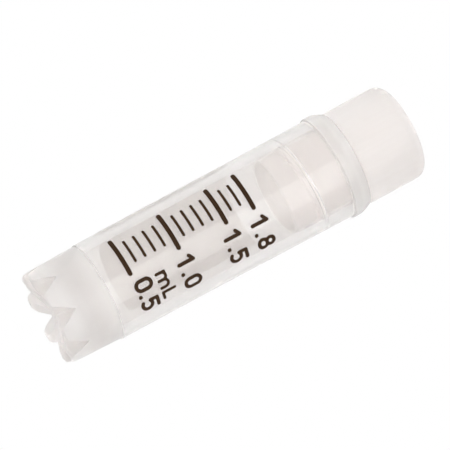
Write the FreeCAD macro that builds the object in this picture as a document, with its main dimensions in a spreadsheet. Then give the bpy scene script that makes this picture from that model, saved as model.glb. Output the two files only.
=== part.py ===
"""A self-standing 2 ml cryovial: tube with a star foot, screw cap and sealing ring.

The vial stands on its foot. The origin is on the axis, level with the tips of the legs, and +Z
points up to the cap. All sizes are in millimetres and angles in degrees.
"""
import FreeCAD, Part
import math
import os

import Sketcher

# ---------------------------------------------------------------- driving dimensions
SIZES = [
    # barrel
    ("rim_height", 40.30, "mouth rim above the feet"),
    ("barrel_radius", 6.27, "outside of the barrel, under the collar"),
    ("barrel_draft", 0.15, "how much smaller the straight lower part of the barrel is"),
    ("barrel_straight", 10.25, "straight lower part, from the skirt up"),
    ("barrel_wall", 1.22, "wall of the barrel, under the neck"),
    ("bore_draft", 0.12, "how much smaller the bore is at the bottom cone"),
    # collar and mouth
    ("collar_step", 0.23, "how far the collar stands out from the barrel"),
    ("collar_height", 2.30, "collar, underside to rim"),
    ("collar_edge", 0.12, "rounding of the collar's lower edge"),
    ("shoulder_height", 1.10, "sloping top part of the collar"),
    ("shoulder_inset", 0.48, "how far the shoulder comes in at the rim"),
    ("shoulder_round", 1.50, "rounding where the shoulder begins"),
    ("rim_wall", 0.40, "wall round the recess that holds the ring"),
    ("seat_depth", 1.20, "depth of that recess under the rim"),
    ("neck_step", 0.13, "how much wider the threaded neck is than the bore"),
    ("neck_length", 8.60, "threaded neck, from the recess down"),
    # skirt and star foot
    ("skirt_inset", 0.12, "step in from the barrel to the skirt"),
    ("skirt_draft", 0.15, "how much smaller the skirt is at the floor"),
    ("skirt_height", 6.75, "step above the feet"),
    ("leg_count", 8, "legs of the star foot"),
    ("leg_depth", 1.20, "flat part of a leg's foot, from the outside"),
    ("leg_width", 1.38, "width of a leg at the floor, before its tip is rounded"),
    ("leg_round", 0.85, "rounding of a leg's tip"),
    ("foot_edge", 0.25, "rounding of the legs' outer edge at the floor"),
    ("notch_height", 2.60, "top of the notch between two legs, at the skirt"),
    ("notch_bend", 1.00, "wall left outside the place where a notch is highest"),
    # conical bottom
    ("nub_radius", 0.40, "gate nub under the cone"),
    ("nub_clearance", 0.80, "floor to the gate nub"),
    ("hub_radius", 1.20, "round hub where the ribs behind the legs meet"),
    ("hub_clearance", 1.05, "floor to the hub"),
    ("cone_clearance", 1.00, "floor to where the cone, carried on inwards, meets the nub"),
    ("cone_angle", 57.8, "half angle of the cone, from the axis"),
    ("cone_wall", 0.82, "wall of the cone, square to its faces"),
    ("cone_round", 1.60, "rounding between the cone and the bore"),
    # screw thread
    ("thread_pitch", 2.00, "rise of the thread in one turn"),
    ("thread_turns", 1.25, "turns of thread on each piece"),
    ("thread_lead", 2.10, "neck's lower end to where the tube's thread begins"),
    ("ridge_base", 0.60, "width of a thread ridge at the wall"),
    ("ridge_crest", 0.22, "width of a thread ridge at its crest"),
    ("ridge_root", 0.15, "how deep a ridge is rooted in its wall"),
    ("thread_play", 0.12, "gap between the two ridges, along the axis"),
    ("thread_clearance", 0.10, "gap from a crest to the wall that it faces"),
    # screw cap
    ("cap_gap", 0.05, "gap between the knob and the rim"),
    ("knob_inset", 0.07, "how much smaller the knob is than the rim"),
    ("knob_height", 8.05, "knob, underside to top"),
    ("knob_round", 1.50, "rounding of the knob's top edge"),
    ("knob_edge", 0.20, "rounding of the knob's lower edge"),
    ("knob_roof", 1.50, "thickness of the knob's top"),
    ("plug_gap", 0.48, "gap between the plug and the neck, which the thread fills"),
    ("plug_length", 9.75, "plug, from the knob's underside down"),
    ("plug_wall", 1.20, "wall of the hollow plug"),
    ("plug_lip", 0.35, "wall left at the plug's end"),
    ("plug_bevel", 0.70, "height of the bevel inside the plug's end"),
    ("plug_round", 0.80, "rounding at the top of the hollow"),
    # sealing ring
    ("ring_fit", 0.05, "gap between the ring and each face round it"),
    ("ring_round", 0.20, "rounding of the ring's edges"),
]

doc = FreeCAD.newDocument("Cryovial")
sheet = doc.addObject("Spreadsheet::Sheet", "Sizes")
for row, (alias, value, meaning) in enumerate(SIZES, start=1):
    sheet.set(f"A{row}", meaning)
    sheet.set(f"B{row}", str(value))
    sheet.setAlias(f"B{row}", alias)
doc.recompute()


# ---------------------------------------------------------------- helpers
def number(expression):
    """The value of an expression written on the sheet's names."""
    value = sheet.evalExpression(expression)
    return float(getattr(value, "Value", value))


def new_body(name):
    body = doc.addObject("PartDesign::Body", name)
    body.Label = name
    body.Placement = FreeCAD.Placement()
    return body


def origin_feature(body, role):
    return next(item for item in body.Origin.OriginFeatures if item.Role == role)


def new_sketch(body, name, plane, offset=None):
    """A sketch on one of the body's origin planes, moved along the plane's normal."""
    sketch = body.newObject("Sketcher::SketchObject", name)
    sketch.AttachmentSupport = [(origin_feature(body, plane), "")]
    sketch.MapMode = "FlatFace"
    if offset:
        sketch.setExpression(".AttachmentOffset.Base.z", offset)
        doc.recompute()
    return sketch


def bind(sketch, kind, *what, to):
    """One dimension of a sketch, bound to an expression on the sheet."""
    index = sketch.addConstraint(Sketcher.Constraint(kind, *what, number(to)))
    sketch.setExpression(f"Constraints[{index}]", to)


def place_point(sketch, geometry, end, across, up):
    """Hold one point of a sketch at two expressions; "0" puts it on that axis."""
    if across == "0":
        sketch.addConstraint(Sketcher.Constraint("PointOnObject", geometry, end, -2))
    else:
        bind(sketch, "DistanceX", -1, 1, geometry, end, to=across)
    if up == "0":
        sketch.addConstraint(Sketcher.Constraint("PointOnObject", geometry, end, -1))
    else:
        bind(sketch, "DistanceY", -1, 1, geometry, end, to=up)


def rounding(before, corner, after, radius):
    """Where an arc that rounds a corner leaves its two sides, and its middle point."""
    back = (before - corner).normalize()
    ahead = (after - corner).normalize()
    half = back.getAngle(ahead) / 2
    reach = radius / math.tan(half)
    bisector = (back + ahead).normalize()
    middle = corner + bisector * (radius / math.sin(half) - radius)
    return corner + back * reach, middle, corner + ahead * reach


def outline(sketch, corners):
    """A closed outline through corners given as (across, up) or (across, up, rounding).

    A rounded corner is an arc tangent to both of its sides. Its dimensions hold the sharp corner.
    """
    points = [FreeCAD.Vector(number(corner[0]), number(corner[1]), 0) for corner in corners]
    arcs = []
    for here, corner in enumerate(corners):
        radius = number(corner[2]) if len(corner) > 2 else 0.0
        following = points[(here + 1) % len(points)]
        arcs.append(rounding(points[here - 1], points[here], following, radius))
    sides = []
    for here in range(len(corners)):
        following = arcs[(here + 1) % len(arcs)]
        sides.append(sketch.addGeometry(Part.LineSegment(arcs[here][2], following[0])))
    for here, corner in enumerate(corners):
        side_in, side_out = sides[here - 1], sides[here]
        if len(corner) < 3:
            sketch.addConstraint(Sketcher.Constraint("Coincident", side_in, 2, side_out, 1))
            place_point(sketch, side_out, 1, corner[0], corner[1])
            continue
        arc = sketch.addGeometry(Part.Arc(*arcs[here]))
        begins_at_side_in = sketch.getPoint(arc, 1).distanceToPoint(arcs[here][0]) < 1e-6
        first, last = (1, 2) if begins_at_side_in else (2, 1)
        sketch.addConstraint(Sketcher.Constraint("Tangent", side_in, 2, arc, first))
        sketch.addConstraint(Sketcher.Constraint("Tangent", side_out, 1, arc, last))
        bind(sketch, "Radius", arc, to=corner[2])
        tip = sketch.addGeometry(Part.Point(points[here]), True)
        sketch.addConstraint(Sketcher.Constraint("PointOnObject", tip, 1, side_in))
        sketch.addConstraint(Sketcher.Constraint("PointOnObject", tip, 1, side_out))
        place_point(sketch, tip, 1, corner[0], corner[1])


def turned(body, name, corners):
    """A solid of revolution about the vertical axis, from half of its section."""
    sketch = new_sketch(body, name + "_section", "XZ_Plane")
    outline(sketch, corners)
    solid = body.newObject("PartDesign::Revolution", name)
    solid.Profile = sketch
    solid.ReferenceAxis = (sketch, ["V_Axis"])
    solid.Angle = 360
    doc.recompute()


def threaded(body, name, start, root, crest):
    """A right-handed thread ridge that begins over +X with its middle at the height start."""
    sketch = new_sketch(body, name + "_section", "XZ_Plane")
    outline(sketch, [
        (root, f"{start} - Sizes.ridge_base / 2"),
        (crest, f"{start} - Sizes.ridge_crest / 2"),
        (crest, f"{start} + Sizes.ridge_crest / 2"),
        (root, f"{start} + Sizes.ridge_base / 2"),
    ])
    ridge = body.newObject("PartDesign::AdditiveHelix", name)
    ridge.Profile = sketch
    ridge.ReferenceAxis = (sketch, ["V_Axis"])
    ridge.Mode = "pitch-turns-angle"
    ridge.setExpression("Pitch", "Sizes.thread_pitch")
    ridge.setExpression("Turns", "Sizes.thread_turns")
    doc.recompute()


# ---------------------------------------------------------------- radii and heights that follow
BARREL_LOW = "(Sizes.barrel_radius - Sizes.barrel_draft)"
SKIRT_TOP = f"({BARREL_LOW} - Sizes.skirt_inset)"
SKIRT_FOOT = f"({SKIRT_TOP} - Sizes.skirt_draft)"
LEG_INSIDE = f"({SKIRT_FOOT} - Sizes.leg_depth)"
COLLAR = "(Sizes.barrel_radius + Sizes.collar_step)"
RIM = f"({COLLAR} - Sizes.shoulder_inset)"
SEAT = f"({RIM} - Sizes.rim_wall)"
BORE_TOP = "(Sizes.barrel_radius - Sizes.barrel_wall)"
BORE_LOW = f"({BORE_TOP} - Sizes.bore_draft)"
NECK = f"({BORE_TOP} + Sizes.neck_step)"
PLUG = f"({NECK} - Sizes.plug_gap)"
PLUG_BORE = f"({PLUG} - Sizes.plug_wall)"
KNOB = f"({RIM} - Sizes.knob_inset)"

COLLAR_UNDER = "(Sizes.rim_height - Sizes.collar_height)"
SHOULDER_UP = "(Sizes.rim_height - Sizes.shoulder_height)"
SEAT_UP = "(Sizes.rim_height - Sizes.seat_depth)"
NECK_UP = f"({SEAT_UP} - Sizes.neck_length)"
CAP_UNDER = "(Sizes.rim_height + Sizes.cap_gap)"
CAP_TOP = f"({CAP_UNDER} + Sizes.knob_height)"
HOLLOW_TOP = f"({CAP_TOP} - Sizes.knob_roof)"
PLUG_END = f"({CAP_UNDER} - Sizes.plug_length)"

# a notch comes in from outside the skirt, is highest at its bend, and ends at the hub
NOTCH_OUTSIDE = f"({SKIRT_TOP} + Sizes.leg_round)"
NOTCH_BEND = f"({SKIRT_FOOT} - Sizes.notch_bend)"

# the cone's outer face at the bend and at the hub; its inner face on the axis and at the bore
SPREAD = "tan(Sizes.cone_angle * 1deg)"
CONE_AT_BEND = f"(Sizes.cone_clearance + ({NOTCH_BEND} - Sizes.nub_radius) / {SPREAD})"
CONE_AT_HUB = f"(Sizes.cone_clearance + (Sizes.hub_radius - Sizes.nub_radius) / {SPREAD})"
NOTCH_STEEP = f"(({CONE_AT_BEND} - Sizes.notch_height) / Sizes.notch_bend)"
NOTCH_BEGINS = (f"(Sizes.notch_height - {NOTCH_STEEP}"
                f" * ({NOTCH_OUTSIDE} - {SKIRT_FOOT}))")
CAVITY_TIP = (f"(Sizes.cone_clearance - Sizes.nub_radius / {SPREAD}"
              " + Sizes.cone_wall / sin(Sizes.cone_angle * 1deg))")
CAVITY_EDGE = f"({CAVITY_TIP} + {BORE_LOW} / {SPREAD})"

# the cap's thread runs just under the tube's, so that tightening pulls the cap down on the ring
TUBE_THREAD = f"({NECK_UP} + Sizes.thread_lead)"
CAP_THREAD = (f"({TUBE_THREAD} - (Sizes.ridge_base + Sizes.ridge_crest) / 2"
              " - Sizes.thread_play)")


# ---------------------------------------------------------------- tube
def notch_section(body, name, distance, apex):
    """The gap between two legs: a V that opens at the floor with its lips rounded outwards.

    It is narrower nearer to the axis, so that the legs run into ribs that meet at the hub.
    """
    near = f"({distance} / {SKIRT_FOOT})"
    half = (f"({near} * ({SKIRT_FOOT} * sin(180deg / Sizes.leg_count)"
            " - Sizes.leg_width / 2))")
    lip_round = f"({near} * Sizes.leg_round)"
    lip = f"({half} + {lip_round})"
    sketch = new_sketch(body, name, "YZ_Plane", offset=distance)
    outline(sketch, [
        ("0", apex),
        (f"-{half}", "0", lip_round),
        (f"-{lip}", "0"),
        (f"-{lip}", f"-{lip_round}"),
        (lip, f"-{lip_round}"),
        (lip, "0"),
        (half, "0", lip_round),
    ])
    return sketch


def make_tube():
    """Barrel, collar, cone and skirt turned in one; then the notches and the neck's thread."""
    body = new_body("tube")
    turned(body, "barrel", [
        ("0", CAVITY_TIP),
        ("0", "Sizes.nub_clearance"),
        ("Sizes.nub_radius", "Sizes.nub_clearance"),
        ("Sizes.nub_radius", "Sizes.hub_clearance"),
        ("Sizes.hub_radius", "Sizes.hub_clearance"),
        (LEG_INSIDE, "0"),
        (SKIRT_FOOT, "0", "Sizes.foot_edge"),
        (SKIRT_TOP, "Sizes.skirt_height"),
        (BARREL_LOW, "Sizes.skirt_height"),
        (BARREL_LOW, "Sizes.skirt_height + Sizes.barrel_straight"),
        ("Sizes.barrel_radius", COLLAR_UNDER),
        (COLLAR, COLLAR_UNDER, "Sizes.collar_edge"),
        (COLLAR, SHOULDER_UP, "Sizes.shoulder_round"),
        (RIM, "Sizes.rim_height"),
        (SEAT, "Sizes.rim_height"),
        (SEAT, SEAT_UP),
        (NECK, SEAT_UP),
        (NECK, NECK_UP),
        (BORE_TOP, NECK_UP),
        (BORE_LOW, CAVITY_EDGE, "Sizes.cone_round"),
    ])
    # the top of each notch rises inwards to the cone and follows it down to the hub
    notch = body.newObject("PartDesign::SubtractiveLoft", "notch")
    notch.Profile = notch_section(body, "notch_outside", NOTCH_OUTSIDE, NOTCH_BEGINS)
    notch.Sections = [notch_section(body, "notch_bend", NOTCH_BEND, CONE_AT_BEND),
                      notch_section(body, "notch_hub", "Sizes.hub_radius", CONE_AT_HUB)]
    notch.Ruled = True
    doc.recompute()
    crown = body.newObject("PartDesign::PolarPattern", "crown")
    crown.Originals = [notch]
    crown.Axis = (origin_feature(body, "Z_Axis"), [""])
    crown.Angle = 360
    crown.setExpression("Occurrences", "Sizes.leg_count")
    body.Tip = crown
    doc.recompute()
    threaded(body, "neck_thread", TUBE_THREAD,
             f"{NECK} + Sizes.ridge_root", f"{PLUG} + Sizes.thread_clearance")
    return body


# ---------------------------------------------------------------- screw cap
def make_cap():
    """A round knob with a hollow plug that screws into the neck."""
    body = new_body("screw_cap")
    turned(body, "knob", [
        ("0", HOLLOW_TOP),
        (PLUG_BORE, HOLLOW_TOP, "Sizes.plug_round"),
        (PLUG_BORE, f"{PLUG_END} + Sizes.plug_bevel"),
        (f"{PLUG} - Sizes.plug_lip", PLUG_END),
        (PLUG, PLUG_END),
        (PLUG, CAP_UNDER),
        (KNOB, CAP_UNDER, "Sizes.knob_edge"),
        (KNOB, CAP_TOP, "Sizes.knob_round"),
        ("0", CAP_TOP),
    ])
    threaded(body, "plug_thread", CAP_THREAD,
             f"{PLUG} - Sizes.ridge_root", f"{NECK} - Sizes.thread_clearance")
    return body


# ---------------------------------------------------------------- sealing ring
def make_ring():
    """A soft washer round the plug, in the recess of the mouth and under the knob."""
    body = new_body("sealing_ring")
    hole, edge = f"{PLUG} + Sizes.ring_fit", f"{SEAT} - Sizes.ring_fit"
    bottom, top = f"{SEAT_UP} + Sizes.ring_fit", f"{CAP_UNDER} - Sizes.ring_fit"
    turned(body, "washer", [
        (hole, bottom, "Sizes.ring_round"),
        (edge, bottom, "Sizes.ring_round"),
        (edge, top, "Sizes.ring_round"),
        (hole, top, "Sizes.ring_round"),
    ])
    return body


# ---------------------------------------------------------------- build, check and write
def failed_objects():
    return [item.Name for item in doc.Objects
            if "Invalid" in item.State or "Error" in item.State]


pieces = [make_tube(), make_cap(), make_ring()]
doc.recompute()
if failed_objects():
    raise RuntimeError(f"failed objects: {failed_objects()}")
for piece in pieces:
    if piece.Shape.isNull() or not piece.Shape.isValid() or len(piece.Shape.Solids) != 1:
        raise RuntimeError(f"{piece.Label} is not one sound solid")

os.makedirs("parts", exist_ok=True)
for piece in pieces:
    piece.Shape.exportStep(f"parts/{piece.Label}.step")
    print(f"{piece.Label}: {piece.Shape.Volume:.1f} mm3")
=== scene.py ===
# %% [markdown]
# # A cryovial, step by step
# A cryovial is a small tube that keeps a frozen sample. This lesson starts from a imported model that
# already holds the three moulded pieces: the tube with its star foot, the screw cap and the sealing
# ring. Their shapes are right, so they stay, and Blender gives them their finish, the printed scale,
# the writing patch, the studio and the camera. Everything is in metres, with +Z towards the cap.

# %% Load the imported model
import itertools
import math

import bmesh
import bpy
from mathutils import Matrix, Vector
from mathutils.bvhtree import BVHTree


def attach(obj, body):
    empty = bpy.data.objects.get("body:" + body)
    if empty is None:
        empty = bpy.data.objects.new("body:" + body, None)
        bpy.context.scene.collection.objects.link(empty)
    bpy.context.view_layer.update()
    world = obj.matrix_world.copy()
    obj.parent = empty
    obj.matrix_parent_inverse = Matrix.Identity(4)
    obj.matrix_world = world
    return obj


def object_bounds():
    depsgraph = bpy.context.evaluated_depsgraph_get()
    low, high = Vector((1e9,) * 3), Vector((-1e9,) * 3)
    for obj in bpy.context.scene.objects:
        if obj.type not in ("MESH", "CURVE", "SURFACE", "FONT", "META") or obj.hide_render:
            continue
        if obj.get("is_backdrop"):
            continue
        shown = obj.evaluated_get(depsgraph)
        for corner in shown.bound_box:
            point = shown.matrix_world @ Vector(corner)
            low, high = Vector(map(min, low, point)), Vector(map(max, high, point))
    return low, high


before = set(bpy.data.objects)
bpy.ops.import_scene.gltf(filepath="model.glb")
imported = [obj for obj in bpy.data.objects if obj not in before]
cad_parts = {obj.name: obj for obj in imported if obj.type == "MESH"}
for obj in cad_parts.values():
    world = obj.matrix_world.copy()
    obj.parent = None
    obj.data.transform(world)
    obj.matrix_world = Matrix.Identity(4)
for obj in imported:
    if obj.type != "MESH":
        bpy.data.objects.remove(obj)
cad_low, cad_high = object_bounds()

MM = 0.001
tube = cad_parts["tube"]
screw_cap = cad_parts["screw_cap"]
sealing_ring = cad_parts["sealing_ring"]
print("pieces:", sorted(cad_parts), "height", round((cad_high.z - cad_low.z) / MM, 2), "mm")

# %% [markdown]
# ## Directions
# The camera, the lamps and the print all have their place round the vial, and two angles say it: how
# far round, and how far up. A unit vector made from them can be scaled, added and crossed like any
# other, so the trigonometry is written once.

# %% Directions
FRONT = math.radians(-94.5)        # the side of the vial that faces the camera


def direction(azimuth, elevation=0.0):
    """The unit vector that points out at these two angles."""
    flat = math.cos(elevation)
    return Vector((flat * math.cos(azimuth), flat * math.sin(azimuth), math.sin(elevation)))


print("front:", [round(part, 3) for part in direction(FRONT)])

# %% [markdown]
# ## The camera
# The vial is shown leaning although it stands upright in the model, so the camera is rolled
# instead. A camera's own axes are its right, its up and the direction back from what it looks at.
# Building them as three vectors, and using them as the columns of a matrix, is easier to follow than
# three turns, because each vector says what it does. The long distance keeps the barrel's two sides
# almost parallel, as a long lens does. The camera looks up a little, past the foot.

# %% Camera
LOOKING_UP = math.radians(12.8)
LEAN = math.radians(28.2)          # the vial's axis over the view's lower edge
CAMERA_DISTANCE = 0.60
NEAREST_SEEN = 0.01
SENSOR_WIDTH = 36.0                # a sensor and a lens are measured in millimetres
VIEW_WIDTH = 52.56 * MM            # what the view spans at the vial
AIM_UP = 23.94 * MM
AIM_ASIDE = 0.124 * MM


def add_camera():
    back = direction(FRONT, -LOOKING_UP)
    side = (-back).cross(Vector((0, 0, 1))).normalized()
    above = side.cross(-back)
    right = above * math.cos(LEAN) + side * math.sin(LEAN)
    up = above * math.sin(LEAN) - side * math.cos(LEAN)
    data = bpy.data.cameras.new("camera")
    data.sensor_width = SENSOR_WIDTH
    data.lens = SENSOR_WIDTH * CAMERA_DISTANCE / VIEW_WIDTH
    data.clip_start = NEAREST_SEEN
    camera = bpy.data.objects.new("camera", data)
    aim = Vector((0, 0, AIM_UP)) + side * AIM_ASIDE
    axes = Matrix((right, up, back)).transposed().to_4x4()
    camera.matrix_world = Matrix.Translation(aim + back * CAMERA_DISTANCE) @ axes
    bpy.context.scene.collection.objects.link(camera)
    bpy.context.scene.camera = camera
    return data


print("lens", round(add_camera().lens), "mm")

# %% [markdown]
# ## The room
# Clear plastic has hardly any colour: what it shows is the room around it, and a pale room on every
# side gives the quiet, nearly white look of a studio shot. The world is white to the eye and to what
# is mirrored or seen through the plastic, and a little darker as a lamp, so that the soft box can
# still shape the object. A Light Path node tells those kinds of ray apart. Two small helpers make
# the nodes that most materials here need: one joins several sockets into one, and one turns a range
# of values into another.

# %% World
ROOM_SEEN = 1.0
ROOM_LIGHT = 0.82


def joined(nodes, links, operation, outputs):
    """One socket made from several: their sum, their product, the smallest or the largest."""
    total = outputs[0]
    for output in outputs[1:]:
        step = nodes.new("ShaderNodeMath")
        step.operation = operation
        links.new(total, step.inputs[0])
        links.new(output, step.inputs[1])
        total = step.outputs[0]
    return total


def turned(nodes, links, amount, start, end, before, after):
    """A value that goes from before to after while the amount goes from start to end."""
    turn = nodes.new("ShaderNodeMapRange")
    for name, value in zip(("From Min", "From Max", "To Min", "To Max"), (start, end, before, after)):
        turn.inputs[name].default_value = value
    links.new(amount, turn.inputs["Value"])
    return turn.outputs["Result"]


def add_world():
    world = bpy.data.worlds.new("white_room")
    world.use_nodes = True
    nodes, links = world.node_tree.nodes, world.node_tree.links
    ray = nodes.new("ShaderNodeLightPath")
    seen = joined(nodes, links, "MAXIMUM",
                  [ray.outputs["Is Camera Ray"], ray.outputs["Is Glossy Ray"],
                   ray.outputs["Is Transmission Ray"]])
    strength = turned(nodes, links, seen, 0, 1, ROOM_LIGHT, ROOM_SEEN)
    background = nodes["Background"]
    background.inputs["Color"].default_value = (1, 1, 1, 1)
    links.new(strength, background.inputs["Strength"])
    bpy.context.scene.world = world


add_world()
bpy.context.scene.view_settings.view_transform = "Standard"
print("the room lights with", ROOM_LIGHT, "and is seen with", ROOM_SEEN)

# %% [markdown]
# ## Light on its way through the plastic
# Light on its way through the foot crosses a dozen walls, and a path that runs out of bounces is
# black, so the counts are raised until the foot stops getting brighter. Filter Glossy would blur what
# is seen through the second and third wall, and clamping would take light away there. Both are meant
# to save time on strong lamps, and this room has none, so both are off.

# %% Light paths
CLEAR_WALLS = 40
MIRRORED_TIMES = 16
SCATTERED_TIMES = 8
cycles = bpy.context.scene.cycles
cycles.max_bounces = CLEAR_WALLS
cycles.transmission_bounces = CLEAR_WALLS
cycles.transparent_max_bounces = CLEAR_WALLS
cycles.glossy_bounces = MIRRORED_TIMES
cycles.diffuse_bounces = SCATTERED_TIMES
cycles.blur_glossy = 0
cycles.sample_clamp_indirect = 0
print("light may cross", cycles.max_bounces, "walls")

# %% [markdown]
# ## The curved soft box
# The long bright band down the barrel is a tall studio lamp, mirrored. A mirror turns light by twice
# its own angle, so the lamp spans twice the band. A flat one would do, but a strip that curves round
# the vial keeps the band's two edges straight all the way down. One upright edge, spun round the
# vial's axis, makes it. It is there to be mirrored only, so that its light doesn't flatten the
# shading.

# %% Curved soft box
BAND = (math.radians(-4.6), math.radians(23.0))        # where the barrel mirrors the strip
BAND_RISE = (math.radians(9.6), math.radians(46.0))    # how low and how high the strip reaches
STRIP_DISTANCE = 0.80
STRIP_BRIGHTNESS = 2.35
STRIP_STEPS = 24


def new_object(name, bm, material, smooth=True):
    """Turn a finished bmesh into an object at the origin, with one material."""
    mesh = bpy.data.meshes.new(name)
    bm.to_mesh(mesh)
    bm.free()
    mesh.materials.append(material)
    mesh.polygons.foreach_set("use_smooth", [smooth] * len(mesh.polygons))
    made = bpy.data.objects.new(name, mesh)
    bpy.context.scene.collection.objects.link(made)
    return made


def glowing(name, brightness):
    material = bpy.data.materials.new(name)
    material.use_nodes = True
    nodes, links = material.node_tree.nodes, material.node_tree.links
    nodes.remove(nodes["Principled BSDF"])
    glow = nodes.new("ShaderNodeEmission")
    glow.inputs["Strength"].default_value = brightness
    links.new(glow.outputs[0], nodes["Material Output"].inputs["Surface"])
    return material


def add_curved_box():
    bm = bmesh.new()
    foot, head = (STRIP_DISTANCE * math.tan(rise) for rise in BAND_RISE)
    start = direction(FRONT + 2 * BAND[0]) * STRIP_DISTANCE
    ends = [bm.verts.new(start + Vector((0, 0, level))) for level in (foot, head)]
    edge = bm.edges.new(ends)
    bmesh.ops.spin(bm, geom=[edge], cent=(0, 0, 0), axis=(0, 0, 1), angle=2 * (BAND[1] - BAND[0]),
                   steps=STRIP_STEPS, use_duplicate=False)
    box = new_object("curved_soft_box", bm, glowing("curved_soft_box", STRIP_BRIGHTNESS))
    box.visible_camera = False
    box.visible_diffuse = False
    box.visible_shadow = False
    box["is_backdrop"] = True
    print("curved soft box:", len(box.data.polygons), "faces,", round(head - foot, 2), "m tall")


add_curved_box()

# %% [markdown]
# ## The top box
# One soft box lights the vial gently from the upper left. It is an area lamp, whose light comes from
# a surface and so fades softly round a curve. It is small, so that the shadow on the table keeps a
# shape. It lights and isn't mirrored, because the collar would show it as a hard white spot.

# %% Top box
TOP_ASIDE = math.radians(40)       # to the left of the camera
TOP_RISE = math.radians(58)
TOP_DISTANCE = 0.60
TOP_SIZE = 0.18
TOP_BRIGHTNESS = 5.8


def add_top_box():
    """A square lamp that faces the middle of the vial."""
    out = direction(FRONT - TOP_ASIDE, TOP_RISE)
    data = bpy.data.lights.new("top_box", "AREA")
    data.shape = "SQUARE"
    data.size = TOP_SIZE
    data.energy = TOP_BRIGHTNESS * math.pi * TOP_SIZE ** 2
    lamp = bpy.data.objects.new("top_box", data)
    lamp.location = Vector((0, 0, AIM_UP)) + out * TOP_DISTANCE
    lamp.rotation_euler = out.to_track_quat("Z", "Y").to_euler()
    lamp.visible_glossy = False
    bpy.context.scene.collection.objects.link(lamp)
    return data


print("top box:", round(add_top_box().energy, 2), "W")

# %% [markdown]
# ## The floor
# The vial stands on a pale table. The camera is a little below the table's level, so the table has
# to be clear from below and solid from above. The Geometry node's Backfacing output is 1 on the
# lower side of the face, and it mixes a Transparent shader in there. Where the table is mirrored, or
# seen through the plastic, it is as white as the room, so that no horizon crosses the barrel.

# %% Floor
FLOOR_RADIUS = 0.9
FLOOR_SIDES = 96
FLOOR_COLOUR = (0.90, 0.90, 0.895, 1)
FLOOR_ROUGHNESS = 0.8


def mix_shader(nodes, links, factor, first, second):
    mix = nodes.new("ShaderNodeMixShader")
    for number, output in enumerate((factor, first, second)):
        links.new(output, mix.inputs[number])
    return mix.outputs[0]


def table_top():
    material = bpy.data.materials.new("table_top")
    material.use_nodes = True
    nodes, links = material.node_tree.nodes, material.node_tree.links
    surface = nodes["Principled BSDF"]
    surface.inputs["Base Color"].default_value = FLOOR_COLOUR
    surface.inputs["Roughness"].default_value = FLOOR_ROUGHNESS
    white = nodes.new("ShaderNodeEmission")
    ray = nodes.new("ShaderNodeLightPath")
    through_plastic = joined(nodes, links, "MAXIMUM",
                             [ray.outputs["Is Glossy Ray"], ray.outputs["Is Transmission Ray"]])
    shader = mix_shader(nodes, links, through_plastic, surface.outputs[0], white.outputs[0])
    below = nodes.new("ShaderNodeNewGeometry").outputs["Backfacing"]
    clear = nodes.new("ShaderNodeBsdfTransparent")
    shader = mix_shader(nodes, links, below, shader, clear.outputs[0])
    links.new(shader, nodes["Material Output"].inputs["Surface"])
    return material


def add_floor():
    bm = bmesh.new()
    bmesh.ops.create_circle(bm, cap_ends=True, segments=FLOOR_SIDES, radius=FLOOR_RADIUS)
    floor = new_object("floor", bm, table_top(), smooth=False)
    floor.location.z = cad_low.z
    floor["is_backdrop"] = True


add_floor()
print("floor:", 2 * FLOOR_RADIUS, "m across")

# %% [markdown]
# ## How a finish starts
# No real surface is one flat number. Each finish below starts from a Principled node, and a noise,
# measured in metres on the object itself, moves its colour, its roughness and its relief a little.
# An image would do the same, but noise needs no file and is sharp at every distance. Object
# coordinates tie the noise to the piece, and a Mapping node sets how large its blotches are.

# %% Noise on a piece
def new_finish(name, ior=1.5):
    """A new material, its nodes, its links and its Principled node."""
    material = bpy.data.materials.new(name)
    material.use_nodes = True
    surface = material.node_tree.nodes["Principled BSDF"]
    surface.inputs["IOR"].default_value = ior
    return material, material.node_tree.nodes, material.node_tree.links, surface


def blotches(nodes, links, size, along=1.0, detail=2.0):
    """Noise with blotches of this size. along stretches them along the vial's axis."""
    place = nodes.new("ShaderNodeMapping")
    place.inputs["Scale"].default_value = (1 / size, 1 / size, 1 / (size * along))
    links.new(nodes.new("ShaderNodeTexCoord").outputs["Object"], place.inputs["Vector"])
    noise = nodes.new("ShaderNodeTexNoise")
    noise.inputs["Scale"].default_value = 1.0
    noise.inputs["Detail"].default_value = detail
    links.new(place.outputs["Vector"], noise.inputs["Vector"])
    return noise.outputs[0]


print("blotches of 1 mm need a scale of", round(1 / MM))

# %% [markdown]
# ## What the noise does
# Noise runs from 0 to 1 but keeps near its middle, so its usual range is stretched first. Then it can
# set a roughness, choose between two tones of a colour, or raise and lower the skin as a bump. The
# tones and every tint need the same Mix node. Its first colour is a plain one, or comes from another
# node.

# %% Roughness, tones and relief
NOISE_RANGE = (0.3, 0.7)           # where most of a noise lies


def between(nodes, links, amount, low, high):
    """Turn noise into values that run from low to high."""
    return turned(nodes, links, amount, *NOISE_RANGE, low, high)


def mixed(nodes, links, factor, first, second, blend="MIX"):
    """The first colour where the factor is 0, blended with the second one where it is 1."""
    mix = nodes.new("ShaderNodeMix")
    mix.data_type = "RGBA"
    mix.blend_type = blend
    if isinstance(first, tuple):
        mix.inputs["A"].default_value = (*first, 1)
    else:
        links.new(first, mix.inputs["A"])
    mix.inputs["B"].default_value = (*second, 1)
    links.new(factor, mix.inputs["Factor"])
    return mix.outputs["Result"]


def relief(nodes, links, surface, amount, depth):
    """Make the surface rise and fall by this depth."""
    bump = nodes.new("ShaderNodeBump")
    bump.inputs["Strength"].default_value = 1.0
    bump.inputs["Distance"].default_value = depth
    links.new(amount, bump.inputs["Height"])
    links.new(bump.outputs["Normal"], surface.inputs["Normal"])


print("noise is stretched", round(1 / (NOISE_RANGE[1] - NOISE_RANGE[0]), 1), "times")

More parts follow.
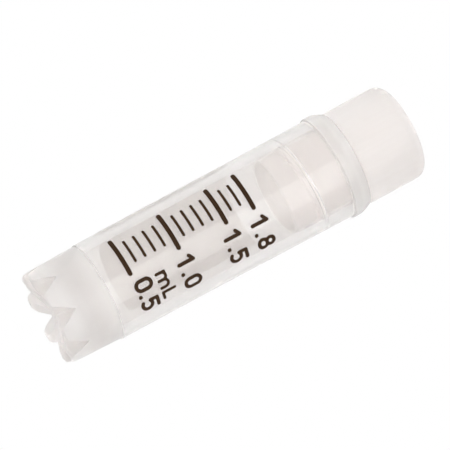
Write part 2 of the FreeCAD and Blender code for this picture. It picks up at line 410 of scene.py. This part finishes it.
# %% [markdown]
# ## Lamps and plastic
# A renderer treats any clear solid as a wall between a lamp and what it lights, and the table would
# turn black below the foot. Real plastic lets the light down to the table. So rays that look for a
# lamp pass through, and each finish says which share of the light they keep.

# %% Lamps and plastic
def let_lamps_through(nodes, links, surface, share):
    """Rays that look for a lamp pass through, and keep this share of the light."""
    through = nodes.new("ShaderNodeBsdfTransparent")
    through.inputs["Color"].default_value = (share, share, share, 1)
    lamp_ray = nodes.new("ShaderNodeLightPath").outputs["Is Shadow Ray"]
    shader = mix_shader(nodes, links, lamp_ray, surface.outputs[0], through.outputs[0])
    links.new(shader, nodes["Material Output"].inputs["Surface"])


def paint(piece, material):
    piece.data.materials.clear()
    piece.data.materials.append(material)
    print(piece.name, "is", material.name, "with", len(material.node_tree.nodes), "nodes")


# %% [markdown]
# ## Where the tube is hazier
# The barrel is clear, but the plastic is thick at both ends and the mould isn't polished there. So
# the foot and the collar are hazier, and each haze begins where the real step is. In the upper part
# of the foot, where the skirt and the cone lie one behind the other, painted shade darkens the
# colour; the legs stick out below them and are pale again. The ribs and the insides of the legs,
# which show in the notches, get a paler colour, which is painted light, or the notches would look
# like dark teeth. Painting a mask would need a flat map of the tube. Here a value that follows the
# height, or the distance from the axis, is enough.

# %% Values that follow the place
SKIRT_STEP = 6.75 * MM             # the barrel ends here and the skirt of the foot begins
LEG_TOP = 4.0 * MM                 # the foot is as hazy as it gets from here down
SHADE_END = (3.0 * MM, 1.6 * MM)   # the painted shade of the foot fades out between these heights
INNER_FACES = (5.95 * MM, 5.75 * MM)   # the faces inside the foot begin between these distances
COLLAR_UNDER = 38.0 * MM           # the collar begins here
EDGE = 0.1 * MM                    # how sharply a haze begins at its step


def down_to(nodes, links, high, low, above, below):
    """A value that turns from one into another between two heights over the floor."""
    height = nodes.new("ShaderNodeSeparateXYZ")
    links.new(nodes.new("ShaderNodeTexCoord").outputs["Object"], height.inputs[0])
    return turned(nodes, links, height.outputs["Z"], high, low, above, below)


def inwards(nodes, links, outer, inner, outside, inside):
    """A value that turns from one into another between two distances from the axis."""
    flat = nodes.new("ShaderNodeVectorMath")
    flat.operation = "MULTIPLY"
    flat.inputs[1].default_value = (1, 1, 0)
    links.new(nodes.new("ShaderNodeTexCoord").outputs["Object"], flat.inputs[0])
    away = nodes.new("ShaderNodeVectorMath")
    away.operation = "LENGTH"
    links.new(flat.outputs["Vector"], away.inputs[0])
    return turned(nodes, links, away.outputs["Value"], outer, inner, outside, inside)


print("the barrel is clear for", round((COLLAR_UNDER - SKIRT_STEP) / MM, 2), "mm of its height")

# %% [markdown]
# ## Clear plastic
# The tube is moulded in natural polypropylene. It is clear enough to see through, yet part of the
# light is scattered in it, so nothing behind it is black. A volume would scatter light as the real
# plastic does, but it is slow and noisy. One Principled node does nearly the same: the transmission
# weight says how much passes straight through, and the rest is scattered at the surface. The flow of
# the melt leaves very faint lines along the barrel.

# %% Clear plastic
POLYPROPYLENE_IOR = 1.49
CLEAR_TONES = (0.915, 0.898, 0.886), (0.945, 0.928, 0.916)
CLEAR_SHARE = 0.77                 # light that goes straight through the barrel
FOOT_SHARE = 0.50
COLLAR_SHARE = 0.55
FOOT_ROUGHER = 0.20                # what the unpolished mould adds to the roughness
COLLAR_ROUGHER = 0.12
# FOOT_SHADE is painted shade on the upper part of the foot; INNER_PAINTED_LIGHT is painted light, a
# paler colour for the faces inside the foot.
FOOT_SHADE = (0.88, 0.866, 0.860)
INNER_PAINTED_LIGHT = (0.91, 0.894, 0.884)


def clear_plastic():
    material, nodes, links, surface = new_finish("clear_plastic", POLYPROPYLENE_IOR)
    haze = blotches(nodes, links, size=2.5 * MM, detail=3)
    in_foot = down_to(nodes, links, SKIRT_STEP, LEG_TOP, 0, 1)
    shade = joined(nodes, links, "MULTIPLY", [in_foot, down_to(nodes, links, *SHADE_END, 1, 0)])
    inner = joined(nodes, links, "MULTIPLY", [in_foot, inwards(nodes, links, *INNER_FACES, 0, 1)])
    tones = mixed(nodes, links, between(nodes, links, haze, 0, 1), *CLEAR_TONES)
    # painted shade over the upper part of the foot, then painted light on the faces inside it
    tones = mixed(nodes, links, shade, tones, FOOT_SHADE, "MULTIPLY")
    tones = mixed(nodes, links, inner, tones, INNER_PAINTED_LIGHT)
    links.new(tones, surface.inputs["Base Color"])
    clear = joined(nodes, links, "MINIMUM",
                   [down_to(nodes, links, SKIRT_STEP, LEG_TOP, CLEAR_SHARE, FOOT_SHARE),
                    down_to(nodes, links, COLLAR_UNDER, COLLAR_UNDER - EDGE, COLLAR_SHARE, 1)])
    links.new(clear, surface.inputs["Transmission Weight"])
    rough = joined(nodes, links, "ADD",
                   [between(nodes, links, haze, low=0.08, high=0.12),
                    down_to(nodes, links, SKIRT_STEP + EDGE, SKIRT_STEP, 0, FOOT_ROUGHER),
                    down_to(nodes, links, COLLAR_UNDER, COLLAR_UNDER - EDGE, COLLAR_ROUGHER, 0)])
    links.new(rough, surface.inputs["Roughness"])
    relief(nodes, links, surface, blotches(nodes, links, size=0.35 * MM, along=30), depth=0.0006 * MM)
    let_lamps_through(nodes, links, surface, share=0.9)
    return material


paint(tube, clear_plastic())

# %% [markdown]
# ## Milky plastic
# The cap is the same kind of plastic, but milky: close to half of the light is scattered at its skin,
# and the rest comes through so softened that nothing behind it has an outline. Its skin has a fine
# grain and long faint drawing marks from where it left the mould. The marks are the same noise as
# before, stretched 25 times along the axis.

# %% Cap
MILKY_TONES = (0.930, 0.905, 0.890), (0.960, 0.937, 0.924)
MILKY_SHARE = 0.55


def milky_plastic():
    material, nodes, links, surface = new_finish("milky_plastic", POLYPROPYLENE_IOR)
    surface.inputs["Transmission Weight"].default_value = MILKY_SHARE
    marks = blotches(nodes, links, size=0.5 * MM, along=25, detail=3)
    tones = mixed(nodes, links, between(nodes, links, marks, 0, 1), *MILKY_TONES)
    links.new(tones, surface.inputs["Base Color"])
    links.new(between(nodes, links, marks, low=0.44, high=0.56), surface.inputs["Roughness"])
    relief(nodes, links, surface, blotches(nodes, links, size=0.12 * MM, along=1.5), depth=0.002 * MM)
    let_lamps_through(nodes, links, surface, share=0.6)
    return material


paint(screw_cap, milky_plastic())

# %% [markdown]
# ## Silicone
# The sealing ring is translucent silicone: soft, satin and a little cloudy. Little light goes
# straight through it, and only its edge shows between the collar and the cap, so a low transmission
# weight over a pale colour is enough.

# %% Ring
SILICONE_IOR = 1.41
SILICONE_TONES = (0.95, 0.935, 0.92), (0.985, 0.97, 0.955)
SILICONE_SHARE = 0.15


def silicone():
    material, nodes, links, surface = new_finish("silicone", SILICONE_IOR)
    surface.inputs["Transmission Weight"].default_value = SILICONE_SHARE
    cloud = blotches(nodes, links, size=0.8 * MM, detail=3)
    tones = mixed(nodes, links, between(nodes, links, cloud, 0, 1), *SILICONE_TONES)
    links.new(tones, surface.inputs["Base Color"])
    links.new(between(nodes, links, cloud, low=0.35, high=0.48), surface.inputs["Roughness"])
    relief(nodes, links, surface, blotches(nodes, links, size=0.1 * MM), depth=0.0015 * MM)
    let_lamps_through(nodes, links, surface, share=0.6)
    return material


paint(sealing_ring, silicone())

# %% [markdown]
# ## The printed scale
# The scale is pad printed: thin opaque ink on the barrel. Each line has round ends, as a pen makes,
# so a pen is what draws it. A text object could give the digits, but its font has sharp corners and
# heavy outlines. A disc is the pen's first touch, and its front half is pushed along a line or spun
# round a centre; what it sweeps is the stroke. The drawing is flat and true to size.

# %% The pen's first touch
NIB_SEGMENTS = 20


def start_stroke(bm, here, way, width, closed):
    """A disc at the start of a stroke, or one line across it if the stroke comes back to its start.
    Returns the edges that the pen pushes along."""
    across = Vector((-way.y, way.x, 0)) * width / 2
    if closed:
        return [bm.edges.new([bm.verts.new(here - across), bm.verts.new(here + across)])]
    disc = bmesh.ops.create_circle(bm, cap_ends=True, segments=NIB_SEGMENTS, radius=width / 2)
    place = Matrix.Translation(here) @ Matrix.Rotation(math.atan2(way.y, way.x), 4, "Z")
    bmesh.ops.transform(bm, matrix=place, verts=disc["verts"])
    rim = {edge for vert in disc["verts"] for edge in vert.link_edges}
    return [edge for edge in rim if ((edge.verts[0].co + edge.verts[1].co) / 2 - here).dot(way) > 0]


print("the nib is a disc with", NIB_SEGMENTS, "corners")

# %% [markdown]
# ## Moving the pen
# A stroke is a list of moves. A straight move extrudes the front edges and shifts them, and a bend
# spins them round its centre. Two strokes that cross must not lie in the same plane, or they would
# flicker, so the strokes take turns on four levels a few thousandths of a millimetre apart.

# %% Strokes
ARC_STEP = math.radians(12)
COAT = 0.003 * MM                  # from one level to the next
COATS = 4
SAME_POINT = 0.001 * MM            # points nearer than this are one
coats = itertools.cycle(range(COATS))


def only(kind, parts):
    return [part for part in parts if isinstance(part, kind)]


def draw(bm, x, y, heading, width, moves, closed=False):
    """One stroke from (x, y). A move is a length, or a (radius, turn) with left turns positive."""
    heading = math.radians(heading)
    here = Vector((x, y, COAT * next(coats)))
    older = len(bm.verts)
    front = start_stroke(bm, here, direction(heading), width, closed)
    for move in moves:
        if isinstance(move, tuple):
            radius, turn = move[0], math.radians(move[1])
            left = Vector((-math.sin(heading), math.cos(heading), 0))
            centre = here + left * math.copysign(radius, turn)
            steps = max(2, round(abs(turn) / ARC_STEP))
            swept = bmesh.ops.spin(bm, geom=front, cent=centre, axis=(0, 0, 1), angle=turn,
                                   steps=steps, use_duplicate=False)
            front = only(bmesh.types.BMEdge, swept["geom_last"])
            here = centre + Matrix.Rotation(turn, 3, "Z") @ (here - centre)
            heading += turn
        else:
            step = direction(heading) * move
            swept = bmesh.ops.extrude_edge_only(bm, edges=front)["geom"]
            moved = only(bmesh.types.BMVert, swept)
            bmesh.ops.translate(bm, verts=moved, vec=step)
            front = [edge for edge in only(bmesh.types.BMEdge, swept)
                     if all(vert in moved for vert in edge.verts)]
            here += step
    if closed:
        bmesh.ops.remove_doubles(bm, verts=bm.verts[older:], dist=SAME_POINT)


print("a full circle takes", round(2 * math.pi / ARC_STEP), "steps")

# %% [markdown]
# ## Measuring the barrel
# The barrel has a slight draft, so that it leaves its mould, and is a little wider at the top. The
# print has to lie on it everywhere. A ray that is shot at the tube from outside says how far the
# surface is from the axis, at any angle and height, and it stays right if the tube is changed.

# %% The barrel's radius
OUTSIDE = 20 * MM                  # farther from the axis than any part of the vial
MIDDLE_OF_SCALE = 16 * MM
barrel_surface = BVHTree.FromObject(tube, bpy.context.evaluated_depsgraph_get())


def barrel_radius(azimuth, height):
    """How far the barrel's outside is from the axis, here and at this height."""
    start = direction(azimuth) * OUTSIDE + Vector((0, 0, height))
    hit = barrel_surface.ray_cast(start, -direction(azimuth))[0]
    return Vector((hit.x, hit.y)).length


PRINT_RADIUS = barrel_radius(FRONT, MIDDLE_OF_SCALE)
print("the barrel's radius at the scale:", round(PRINT_RADIUS / MM, 3), "mm")

# %% [markdown]
# ## Wrapping a drawing
# A flat drawing only bends where it has points, so it is sliced into narrow upright strips first.
# Then each point goes to its place round the barrel, and the sheet is extruded outwards into a thin
# solid film. A Shrinkwrap modifier would pull the points straight in and squeeze the drawing at its
# sides; this keeps every width true.

# %% Wrapping
STRIP = 0.25 * MM                  # width of a slice before it is bent
INK_GAP = 0.006 * MM               # keeps the ink off the facets of the barrel
INK_THICKNESS = 0.018 * MM
SHARP = math.radians(30)           # edges with a larger angle stay crisp


def wrapped(name, bm, middle, material):
    """Slice a flat drawing, bend it round the barrel with its x = 0 at the azimuth middle, and
    give it its thickness. The drawing's y is the height over the floor."""
    reach = max(abs(vert.co.x) for vert in bm.verts)
    for step in range(-int(reach / STRIP), int(reach / STRIP) + 1):
        everything = bm.verts[:] + bm.edges[:] + bm.faces[:]
        bmesh.ops.bisect_plane(bm, geom=everything, plane_co=(step * STRIP, 0, 0), plane_no=(1, 0, 0))
    for vert in bm.verts:
        azimuth = middle + vert.co.x / PRINT_RADIUS
        out = barrel_radius(azimuth, vert.co.y) + INK_GAP + vert.co.z
        vert.co = direction(azimuth) * out + Vector((0, 0, vert.co.y))
    raised = bmesh.ops.extrude_face_region(bm, geom=bm.faces[:])["geom"]
    for vert in only(bmesh.types.BMVert, raised):
        vert.co += Vector((vert.co.x, vert.co.y, 0)).normalized() * INK_THICKNESS
    bmesh.ops.recalc_face_normals(bm, faces=bm.faces[:])
    for edge in bm.edges:
        edge.smooth = edge.calc_face_angle(0) < SHARP
    piece = new_object(name, bm, material)
    print(name, "has", len(piece.data.polygons), "faces")
    return piece


# %% [markdown]
# ## Black ink
# Pad printing ink is a thin dry film with a satin shine. The dark ink is a warm brownish black, and
# a fine noise makes it a little thinner in places. Its specular level is low, because dry ink shines
# less than plastic.

# %% Black ink
BLACK_TONES = (0.024, 0.009, 0.002), (0.054, 0.025, 0.008)
INK_SHINE = 0.12


def black_ink():
    material, nodes, links, surface = new_finish("black_ink")
    surface.inputs["Specular IOR Level"].default_value = INK_SHINE
    tone_shift = blotches(nodes, links, size=0.18 * MM, detail=4)
    tones = mixed(nodes, links, between(nodes, links, tone_shift, 0, 1), *BLACK_TONES)
    links.new(tones, surface.inputs["Base Color"])
    links.new(between(nodes, links, tone_shift, low=0.32, high=0.5), surface.inputs["Roughness"])
    relief(nodes, links, surface, blotches(nodes, links, size=0.06 * MM), depth=0.001 * MM)
    return material


BLACK_INK = black_ink()
print("made", BLACK_INK.name)

# %% [markdown]
# ## Graduations
# The long marks stand at the printed volumes, and the short ones divide the space between them into
# tenths of a millilitre. The bottom is a cone, so the first mark isn't at a round height, and the
# long marks have their own heights. The short ones are worked out from them in a loop.

# %% Graduations
MARKS = {0.5: 9.98 * MM, 1.0: 16.45 * MM, 1.5: 22.80 * MM, 1.8: 26.50 * MM}
LONG_MARK = (math.radians(-48.4), math.radians(1.7), 0.56 * MM)     # from, to, and how wide
SHORT_MARK = (math.radians(-38.4), math.radians(-9.0), 0.34 * MM)


def draw_mark(bm, height, start, end, width):
    """A line round the barrel, between two angles from the front."""
    left = start * PRINT_RADIUS + width / 2
    right = end * PRINT_RADIUS - width / 2
    draw(bm, left, height, 0, width, [right - left])


def add_scale():
    bm = bmesh.new()
    marks = sorted(MARKS.items())
    for (low, low_height), (high, high_height) in zip(marks, marks[1:]):
        tenths = round((high - low) * 10)
        for tenth in range(1, tenths):
            draw_mark(bm, low_height + (high_height - low_height) * tenth / tenths, *SHORT_MARK)
    for height in MARKS.values():
        draw_mark(bm, height, *LONG_MARK)
    piece = wrapped("scale_marks", bm, FRONT, BLACK_INK)
    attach(piece, "tube")


add_scale()

# %% [markdown]
# ## Digits
# A digit is one or more strokes of the same pen. Its shape is a few straight runs and arcs, so it is
# written as the moves that the pen makes, in shares of the digit's height. That is shorter than an
# outline and gives the round ends for nothing. The zero and the eight come back to where they start.

# %% Digits
def zero(bm, x, y, tall, pen):
    wide = 0.62 * tall
    run = tall - wide
    draw(bm, x + wide, y + wide / 2, 90, pen, [run, (wide / 2, 180), run, (wide / 2, 180)],
         closed=True)


def one(bm, x, y, tall, pen):
    stem = x + 0.30 * tall
    draw(bm, stem, y, 90, pen, [tall])
    draw(bm, stem, y + tall, 212, pen, [0.34 * tall])


def five(bm, x, y, tall, pen):
    bowl = 0.33 * tall
    left = x + 0.02 * tall
    draw(bm, x + 0.60 * tall, y + tall, 180, pen, [0.58 * tall])
    draw(bm, left, y + tall, 268, pen, [0.46 * tall])
    draw(bm, left, y + 0.53 * tall, 42, pen, [(bowl, -42), (bowl, -180), (bowl, -38)])


def eight(bm, x, y, tall, pen):
    upper, lower = 0.235 * tall, 0.265 * tall
    middle = x + 0.31 * tall
    for centre, radius, wide in ((tall - upper, upper, 0.05), (lower, lower, 0.09)):
        run = wide * tall
        draw(bm, middle - run / 2, y + centre - radius, 0, pen,
             [run, (radius, 180), run, (radius, 180)], closed=True)


DIGITS = {"0": zero, "1": one, "5": five, "8": eight}
print("digits to draw with:", *DIGITS)

# %% [markdown]
# ## Letters and the point
# The unit is written as mL. The m is a stem and the same arch twice, and the L is two lines. A stroke
# with no moves leaves only the pen's first touch, which is a round point.

# %% Letters and the point
def letter_m(bm, x, y, tall, pen):
    arch = 0.44 * tall
    draw(bm, x, y, 90, pen, [tall])
    for foot in (x, x + 2 * arch):
        draw(bm, foot, y + tall - arch, 90, pen, [(arch, -180), tall - arch])


def letter_l(bm, x, y, tall, pen):
    draw(bm, x, y + tall, 270, pen, [tall])
    draw(bm, x, y, 0, pen, [0.52 * tall])


def point(bm, x, y, pen):
    draw(bm, x, y, 0, pen, [])


print("and the letters m and L")

# %% [markdown]
# ## Numerals
# Each number stands beside its own mark. The lowest sits a little higher than its mark, with the
# unit right above it. The pen runs along the middle of a stroke, so a digit's path is one pen width
# shorter than the digit.

# %% Numerals
DIGIT_HEIGHT = 2.34 * MM
DIGIT_PEN = 0.46 * MM
POINT_PEN = 1.08 * DIGIT_PEN
POINT_UP = 0.02 * MM
FIRST_DIGIT, POINT, SECOND_DIGIT = (math.radians(angle) for angle in (11.4, 28.7, 36.4))
UNIT_ANGLES = (math.radians(13.6), math.radians(36.4))     # where the m and the L begin
UNIT_BASE, SMALL_HEIGHT, CAPITAL_HEIGHT = 12.42 * MM, 1.40 * MM, 1.90 * MM
UNIT_PEN = 0.37 * MM
LABELS = {"0.5": 10.81 * MM, "1.0": 16.48 * MM, "1.5": 22.70 * MM, "1.8": 26.33 * MM}


def add_numerals():
    bm = bmesh.new()
    tall = DIGIT_HEIGHT - DIGIT_PEN
    for label, middle in LABELS.items():
        base = middle - tall / 2
        DIGITS[label[0]](bm, FIRST_DIGIT * PRINT_RADIUS, base, tall, DIGIT_PEN)
        point(bm, POINT * PRINT_RADIUS, base + POINT_UP, POINT_PEN)
        DIGITS[label[2]](bm, SECOND_DIGIT * PRINT_RADIUS, base, tall, DIGIT_PEN)
    base = UNIT_BASE + UNIT_PEN / 2
    letter_m(bm, UNIT_ANGLES[0] * PRINT_RADIUS, base, SMALL_HEIGHT - UNIT_PEN, UNIT_PEN)
    letter_l(bm, UNIT_ANGLES[1] * PRINT_RADIUS, base, CAPITAL_HEIGHT - UNIT_PEN, UNIT_PEN)
    piece = wrapped("scale_numerals", bm, FRONT, BLACK_INK)
    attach(piece, "tube")


add_numerals()

# %% [markdown]
# ## White ink
# The writing patch is matt white ink with a tooth that takes pencil. Two noises make it: a fine one
# for the tooth, which moves the roughness and the relief, and a coarser one for the tone. The colour
# is a little greyer towards the lower edge.

# %% White ink
WHITE_TONES = (0.945, 0.931, 0.915), (0.969, 0.955, 0.939)
GREYING_HEIGHTS = (12.0 * MM, 9.8 * MM)   # the colour turns greyer between these heights, towards the lower edge
LOWER_EDGE_TINT = (0.90, 0.90, 0.90)


def white_ink():
    material, nodes, links, surface = new_finish("white_ink")
    tooth = blotches(nodes, links, size=0.07 * MM, detail=4)
    patches = blotches(nodes, links, size=0.5 * MM, detail=3)
    tones = mixed(nodes, links, between(nodes, links, patches, 0, 1), *WHITE_TONES)
    # the colour is a little greyer towards the lower edge of the patch
    tone_shift = down_to(nodes, links, *GREYING_HEIGHTS, 0, 1)
    tones = mixed(nodes, links, tone_shift, tones, LOWER_EDGE_TINT, "MULTIPLY")
    links.new(tones, surface.inputs["Base Color"])
    links.new(between(nodes, links, tooth, low=0.65, high=0.85), surface.inputs["Roughness"])
    relief(nodes, links, surface, tooth, depth=0.004 * MM)
    return material


WHITE_INK = white_ink()
print("made", WHITE_INK.name)

# %% [markdown]
# ## The writing patch
# On the far side is a block of white ink to write on. A mask in the tube's material could colour it
# in, but a film with its own thickness has a real edge and covers what is behind it. It is one flat
# rectangle with its four corners rounded by a vertex bevel, wrapped by the same function as the scale.

# %% Writing patch
PATCH_ANGLES = (math.radians(131), math.radians(270))
PATCH_HEIGHTS = (9.75 * MM, 27.10 * MM)
PATCH_CORNER = 0.8 * MM
CORNER_SEGMENTS = 6


def add_patch():
    bm = bmesh.new()
    wide = (PATCH_ANGLES[1] - PATCH_ANGLES[0]) * PRINT_RADIUS
    low, high = PATCH_HEIGHTS
    bmesh.ops.create_grid(bm, x_segments=1, y_segments=1, size=0.5)
    bmesh.ops.scale(bm, vec=(wide, high - low, 1), verts=bm.verts[:])
    bmesh.ops.translate(bm, vec=(0, (high + low) / 2, 0), verts=bm.verts[:])
    bmesh.ops.bevel(bm, geom=bm.verts[:], offset=PATCH_CORNER, affect="VERTICES",
                    segments=CORNER_SEGMENTS, profile=0.5, material=-1)
    piece = wrapped("writing_patch", bm, FRONT + sum(PATCH_ANGLES) / 2, WHITE_INK)
    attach(piece, "tube")
    print("it is", round(wide / MM, 1), "by", round((high - low) / MM, 1), "mm")


add_patch()

# %% [markdown]
# ## Finish
# Both boxes, the imported model's and the finished one's, are gathered, and the finished size is
# printed. The finished model must stay within the size of the imported one.

# %% Sizes and finish
sizes = {"cad": [list(cad_low), list(cad_high)], "visual": [list(corner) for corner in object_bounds()]}
low, high = sizes["visual"]
print("finished size in mm:", *(round((end - start) / MM, 2) for start, end in zip(low, high)))
